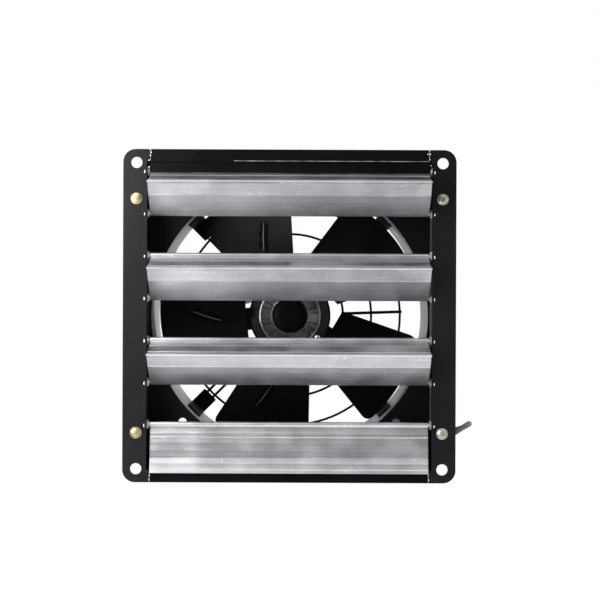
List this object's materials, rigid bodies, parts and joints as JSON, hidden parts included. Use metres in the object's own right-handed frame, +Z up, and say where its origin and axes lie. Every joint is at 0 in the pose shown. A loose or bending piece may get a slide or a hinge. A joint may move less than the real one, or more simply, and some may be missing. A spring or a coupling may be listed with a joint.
{
  "type": "shutter exhaust fan",
  "caption": "Square wall-mounted extractor fan: pivoting aluminium louvres in a black flanged box, with an axial blade wheel and its motor on a wire guard behind.",
  "frame": {"origin": "centre of the wall opening on the back plane of the flange", "axes": "+X to the right and +Z up as seen from outside, +Y into the building along the fan's axis"},
  "size_m": [0.3938, 0.2339, 0.3802],
  "materials": {
    "aluminium": "extruded, mill finish",
    "black_blade": "satin black",
    "black_coat": "satin black powder coat",
    "black_plastic": "moulded",
    "black_rubber": "matte cord sheath",
    "copper": null,
    "hub_grey": "semi-gloss grey",
    "laminations": "oiled laminations",
    "pale_plastic": "moulded case",
    "steel": "zinc plate",
    "white_nylon": "moulded nylon",
    "yellow_zinc": "yellow zinc plate",
    "zinc_sheet": "galvanised sheet"
  },
  "bodies": {
    "frame": {"bush_strip_left": "white_nylon", "bush_strip_right": "white_nylon", "cable_gland": "black_plastic", "cord_clip": "black_plastic", "cord_coil": "black_rubber", "cord_tie": "black_plastic", "frame_bottom": "black_coat", "frame_left": "black_coat", "frame_right": "black_coat", "frame_screw_lower_left": "yellow_zinc", "frame_screw_lower_right": "steel", "frame_screw_upper_left": "yellow_zinc", "frame_screw_upper_right": "steel", "frame_top": "black_coat", "front_bearing": "steel", "guard_bracket_1": "black_coat", "guard_bracket_2": "black_coat", "guard_bracket_3": "black_coat", "guard_bracket_4": "black_coat", "motor_bolt_1": "steel", "motor_bolt_2": "steel", "motor_bolt_3": "steel", "motor_bolt_4": "steel", "motor_front_shield": "black_coat", "motor_rear_shield": "black_coat", "orifice_plate": "black_coat", "plug_body": "black_plastic", "power_cord": "black_rubber", "rear_bearing": "steel", "run_capacitor": "pale_plastic", "stator_core": "laminations", "stator_windings": "copper", "terminal_box": "black_plastic", "terminal_box_lid": "black_plastic", "venturi_ring": "zinc_sheet", "wire_guard": "black_coat"},
    "louvre_1": {"louvre_1": "aluminium", "louvre_rod_1": "steel"},
    "louvre_2": {"louvre_2": "aluminium", "louvre_rod_2": "steel"},
    "louvre_3": {"louvre_3": "aluminium", "louvre_rod_3": "steel"},
    "louvre_4": {"louvre_4": "aluminium", "louvre_rod_4": "steel"},
    "louvre_5": {"louvre_5": "aluminium", "louvre_rod_5": "steel"},
    "louvre_6": {"louvre_6": "aluminium", "louvre_rod_6": "steel"},
    "louvre_7": {"louvre_7": "aluminium", "louvre_rod_7": "steel"},
    "fan_wheel": {"fan_hub": "hub_grey", "hub_cap": "black_plastic", "hub_nut": "steel", "motor_shaft": "steel", "rotor_core": "laminations", "fan_blade_1": "black_blade", "fan_blade_2": "black_blade", "fan_blade_3": "black_blade", "fan_blade_4": "black_blade", "fan_blade_5": "black_blade"}
  },
  "joints": [
    {"name": "louvre_1_hinge", "type": "hinge", "parent": "frame", "child": "louvre_1", "pos_m": [0, 0.005, 0.1611], "axis": [-1, 0, 0], "range_deg": [-67.1, 0]},
    {"name": "louvre_2_hinge", "type": "hinge", "parent": "frame", "child": "louvre_2", "pos_m": [0, 0.005, 0.1141], "axis": [-1, 0, 0], "range_deg": [-118.61, 0]},
    {"name": "louvre_3_hinge", "type": "hinge", "parent": "frame", "child": "louvre_3", "pos_m": [0, 0.005, 0.0671], "axis": [-1, 0, 0], "range_deg": [-67.1, 0]},
    {"name": "louvre_4_hinge", "type": "hinge", "parent": "frame", "child": "louvre_4", "pos_m": [0, 0.005, 0.0201], "axis": [-1, 0, 0], "range_deg": [-118.61, 0]},
    {"name": "louvre_5_hinge", "type": "hinge", "parent": "frame", "child": "louvre_5", "pos_m": [0, 0.005, -0.0269], "axis": [-1, 0, 0], "range_deg": [-67.1, 0]},
    {"name": "louvre_6_hinge", "type": "hinge", "parent": "frame", "child": "louvre_6", "pos_m": [0, 0.005, -0.0739], "axis": [-1, 0, 0], "range_deg": [-118.61, 0]},
    {"name": "louvre_7_hinge", "type": "hinge", "parent": "frame", "child": "louvre_7", "pos_m": [0, 0.005, -0.1209], "axis": [-1, 0, 0], "range_deg": [0, 20]},
    {"name": "fan_spin", "type": "hinge", "parent": "frame", "child": "fan_wheel", "pos_m": [0, 0.08, 0], "axis": [0, 1, 0], "continuous": true}
  ],
  "couplings": [
    {"joint": "louvre_2_hinge", "follows": "louvre_1_hinge", "ratio": 1.7675},
    {"joint": "louvre_3_hinge", "follows": "louvre_1_hinge", "ratio": 1},
    {"joint": "louvre_4_hinge", "follows": "louvre_1_hinge", "ratio": 1.7675},
    {"joint": "louvre_5_hinge", "follows": "louvre_1_hinge", "ratio": 1},
    {"joint": "louvre_6_hinge", "follows": "louvre_1_hinge", "ratio": 1.7675}
  ]
}
